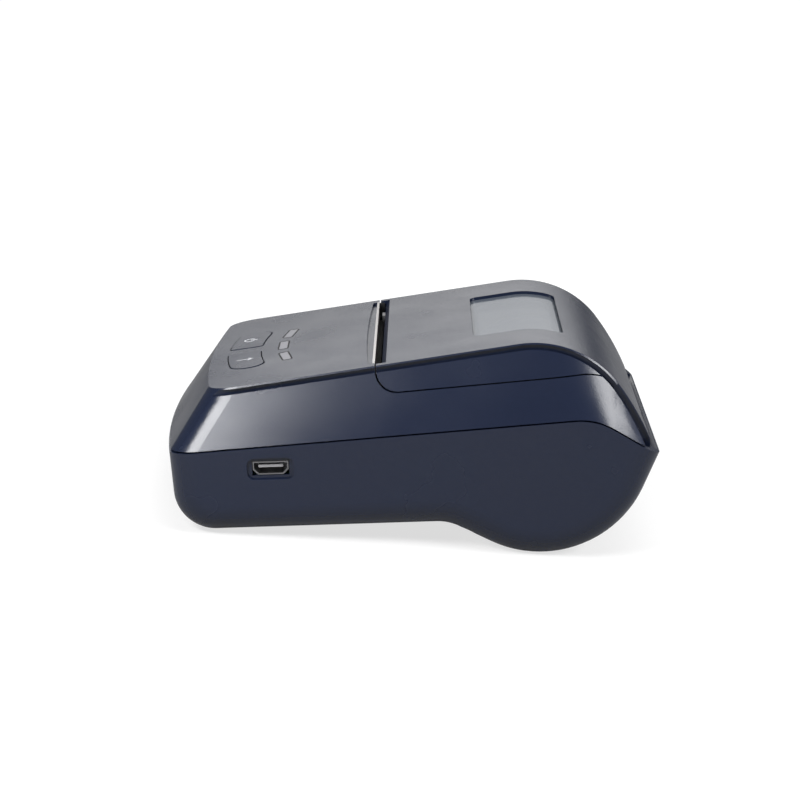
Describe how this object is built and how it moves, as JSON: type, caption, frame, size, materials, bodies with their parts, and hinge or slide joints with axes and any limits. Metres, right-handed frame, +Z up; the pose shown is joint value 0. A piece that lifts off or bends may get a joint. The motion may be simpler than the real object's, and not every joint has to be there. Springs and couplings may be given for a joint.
{
  "type": "portable_thermal_printer",
  "caption": "Portable receipt printer with a windowed hinged cover over a drop-in roll bay, paper slot with a tear bar, two flat buttons and a battery in the base.",
  "frame": {"origin": "centre of the bounding box's underside, on the surface the printer stands on", "axes": "+X the user's right with the USB socket, -Y the front with the buttons, +Z up"},
  "size_m": [0.08, 0.1066, 0.0459],
  "materials": {
    "case_lower": "fine texture",
    "case_upper": "fine texture",
    "case_cover": "fine texture",
    "button_plastic": "fine texture",
    "inner_plastic": "satin",
    "gear_plastic": "satin",
    "window_clear": "polished",
    "led_diffuser": "frosted",
    "bright_steel": "bright",
    "sheet_steel": "satin",
    "sink_aluminium": "milled",
    "head_ceramic": "glazed",
    "platen_rubber": "ground",
    "foot_rubber": "moulded",
    "thermal_paper": "smooth",
    "core_card": "plain",
    "board_green": "solder mask",
    "chip_black": "moulded",
    "battery_wrap": "shrink film",
    "contact_gold": "gold plated",
    "flex_amber": "polyimide",
    "led_white": "plain"
  },
  "bodies": {
    "case": {"lower_case": "case_lower", "upper_case": "case_upper", "hinge_pin": "bright_steel", "tear_bar": "bright_steel", "gear_pins": "bright_steel", "stepper_motor": "sheet_steel", "mechanism_frame": "inner_plastic", "frame_screws": "bright_steel", "thermal_head": "head_ceramic", "heat_sink": "sink_aluminium", "head_springs": "bright_steel", "head_flex": "flex_amber", "paper_sensor": "chip_black", "main_board": "board_green", "board_chips": "chip_black", "usb_shell": "bright_steel", "usb_tongue": "chip_black", "battery_pack": "battery_wrap", "battery_contacts": "contact_gold", "feed_switch": "chip_black", "power_switch": "chip_black", "key_board": "board_green", "key_flex": "flex_amber", "led_lens_left": "led_diffuser", "led_lens_middle": "led_diffuser", "led_lens_right": "led_diffuser", "status_leds": "led_white", "case_screws": "bright_steel", "front_feet": "foot_rubber"},
    "cover_assembly": {"cover": "case_cover", "window": "window_clear", "cover_liner": "inner_plastic", "slot_guide": "gear_plastic", "platen_bushes": "inner_plastic"},
    "platen": {"platen_shaft": "bright_steel", "platen_roller": "platen_rubber", "platen_gear": "gear_plastic"},
    "idler": {"idler_gear": "gear_plastic"},
    "compound": {"compound_gear": "gear_plastic"},
    "rotor": {"motor_shaft": "bright_steel", "motor_pinion": "contact_gold"},
    "roll": {"paper_roll": "thermal_paper", "paper_core": "core_card"},
    "door": {"battery_door": "case_lower"},
    "feed_key": {"feed_button": "button_plastic"},
    "power_key": {"power_button": "button_plastic"}
  },
  "joints": [
    {"name": "cover_hinge", "type": "hinge", "parent": "case", "child": "cover_assembly", "pos_m": [0, 0.04903, 0.02531], "axis": [-1, 0, 0], "range_deg": [0, 90]},
    {"name": "platen_spin", "type": "hinge", "parent": "cover_assembly", "child": "platen", "pos_m": [0, -0.00196, 0.03167], "axis": [1, 0, 0], "continuous": true},
    {"name": "idler_spin", "type": "hinge", "parent": "case", "child": "idler", "pos_m": [0, -0.0032, 0.02124], "axis": [1, 0, 0], "continuous": true},
    {"name": "compound_spin", "type": "hinge", "parent": "case", "child": "compound", "pos_m": [0, -0.01115, 0.01823], "axis": [1, 0, 0], "continuous": true},
    {"name": "rotor_spin", "type": "hinge", "parent": "case", "child": "rotor", "pos_m": [0, -0.0176, 0.02521], "axis": [1, 0, 0], "continuous": true},
    {"name": "roll_spin", "type": "hinge", "parent": "case", "child": "roll", "pos_m": [0, 0.02822, 0.02032], "axis": [1, 0, 0], "continuous": true},
    {"name": "door_hinge", "type": "hinge", "parent": "case", "child": "door", "pos_m": [0, -0.03318, 0.0022], "axis": [-1, 0, 0], "range_deg": [0, 35]},
    {"name": "feed_press", "type": "slide", "parent": "case", "child": "feed_key", "axis": [0, 0.2186, -0.9758], "range_m": [0, 0.0005], "stiffness_N_per_m": 2500},
    {"name": "power_press", "type": "slide", "parent": "case", "child": "power_key", "axis": [0, 0.2186, -0.9758], "range_m": [0, 0.0005], "stiffness_N_per_m": 2500}
  ],
  "couplings": [
    {"joint": "idler_spin", "follows": "platen_spin", "ratio": -0.90909},
    {"joint": "compound_spin", "follows": "platen_spin", "ratio": 1.6667},
    {"joint": "rotor_spin", "follows": "platen_spin", "ratio": -4.6667}
  ]
}
